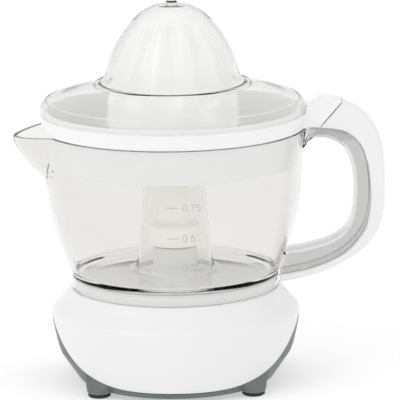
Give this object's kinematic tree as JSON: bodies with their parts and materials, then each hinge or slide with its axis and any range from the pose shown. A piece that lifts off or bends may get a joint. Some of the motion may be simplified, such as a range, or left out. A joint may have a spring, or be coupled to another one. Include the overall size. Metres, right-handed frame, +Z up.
{
  "type": "citrus press juicer",
  "caption": "Electric citrus press: motor base on small feet, clear jug with spout and closed handle, strainer with thumb tab, ribbed reamer cone and clear domed lid.",
  "frame": {"origin": "centre of the whole object's footprint box, on the surface it stands on; the drive axis is at x = -15.4 mm, y = 0", "axes": "+Z up along the drive axis, +X from the spout towards the handle, +Y to the back, away from the jug's scale"},
  "size_m": [0.2236, 0.1596, 0.2313],
  "materials": {
    "white_plastic": "satin moulded white",
    "grey_plastic": "fine textured grey",
    "clear_plastic": "polished clear, faintly smoky",
    "cream_plastic": "satin natural",
    "gear_plastic": "greased acetal",
    "black_rubber": "matt",
    "black_plastic": "matt",
    "zinc_steel": "zinc plated",
    "core_iron": "laminated, varnished",
    "copper_wire": "enamelled winding",
    "pinion_brass": "machined"
  },
  "bodies": {
    "base": {"base_housing": "white_plastic", "lower_shell": "grey_plastic", "rubber_foot_1": "black_rubber", "rubber_foot_2": "black_rubber", "rubber_foot_3": "black_rubber", "rubber_foot_4": "black_rubber", "base_screw_1": "zinc_steel", "base_screw_2": "zinc_steel", "base_screw_3": "zinc_steel", "cord_gland": "black_rubber", "gear_plate": "zinc_steel", "plate_screw_1": "zinc_steel", "plate_screw_2": "zinc_steel", "plate_screw_3": "zinc_steel", "gearbox_cover": "cream_plastic", "idler_axle": "zinc_steel", "motor_core": "core_iron", "motor_bobbin": "black_plastic", "motor_coil": "copper_wire", "motor_bracket": "zinc_steel", "motor_screw_1": "zinc_steel", "motor_screw_2": "zinc_steel", "switch_body": "black_plastic", "tower_bush": "pinion_brass"},
    "output_gear": {"output_gear": "gear_plastic", "return_spring": "zinc_steel"},
    "idler_gear": {"idler_gear": "gear_plastic"},
    "rotor": {"motor_rotor": "core_iron", "motor_pinion": "pinion_brass"},
    "spindle": {"spindle": "cream_plastic"},
    "switch_plunger": {"switch_plunger": "cream_plastic"},
    "jug": {"jug": "clear_plastic", "handle_cover": "white_plastic"},
    "strainer": {"strainer": "white_plastic"},
    "thrust_ring": {"thrust_ring": "cream_plastic"},
    "cone": {"reamer_cone": "white_plastic"},
    "lid": {"lid": "clear_plastic"}
  },
  "joints": [
    {"name": "output_spin", "type": "hinge", "parent": "base", "child": "output_gear", "pos_m": [-0.0154, 0, 0.04], "axis": [0, 0, 1], "continuous": true},
    {"name": "idler_spin", "type": "hinge", "parent": "base", "child": "idler_gear", "pos_m": [-0.03908, 0.02711, 0.038], "axis": [0, 0, 1], "continuous": true},
    {"name": "rotor_spin", "type": "hinge", "parent": "base", "child": "rotor", "pos_m": [-0.0154, 0.031, 0.0165], "axis": [0, 0, 1], "continuous": true},
    {"name": "spindle_press", "type": "slide", "parent": "output_gear", "child": "spindle", "axis": [0, 0, 1], "range_m": [-0.0025, 0], "stiffness_N_per_m": 1500, "springref_m": 0.003, "deforming": ["return_spring"]},
    {"name": "switch_press", "type": "slide", "parent": "base", "child": "switch_plunger", "axis": [0, 0, 1], "range_m": [-0.0025, 0]},
    {"name": "jug_lift", "type": "slide", "parent": "base", "child": "jug", "axis": [0, 0, 1], "range_m": [0, 0.14]},
    {"name": "strainer_lift", "type": "slide", "parent": "jug", "child": "strainer", "axis": [0, 0, 1], "range_m": [0, 0.075]},
    {"name": "lid_lift", "type": "slide", "parent": "strainer", "child": "lid", "axis": [0, 0, 1], "range_m": [0, 0.075]},
    {"name": "cone_press", "type": "slide", "parent": "strainer", "child": "thrust_ring", "axis": [0, 0, 1], "range_m": [-0.0025, 0]},
    {"name": "cone_spin", "type": "hinge", "parent": "thrust_ring", "child": "cone", "pos_m": [-0.0154, 0, 0.18], "axis": [0, 0, 1], "continuous": true}
  ],
  "couplings": [
    {"joint": "idler_spin", "follows": "output_spin", "ratio": -5},
    {"joint": "rotor_spin", "follows": "output_spin", "ratio": 25},
    {"joint": "cone_spin", "follows": "output_spin", "ratio": 1},
    {"joint": "switch_press", "follows": "spindle_press", "ratio": 1},
    {"joint": "cone_press", "follows": "spindle_press", "ratio": 1}
  ]
}
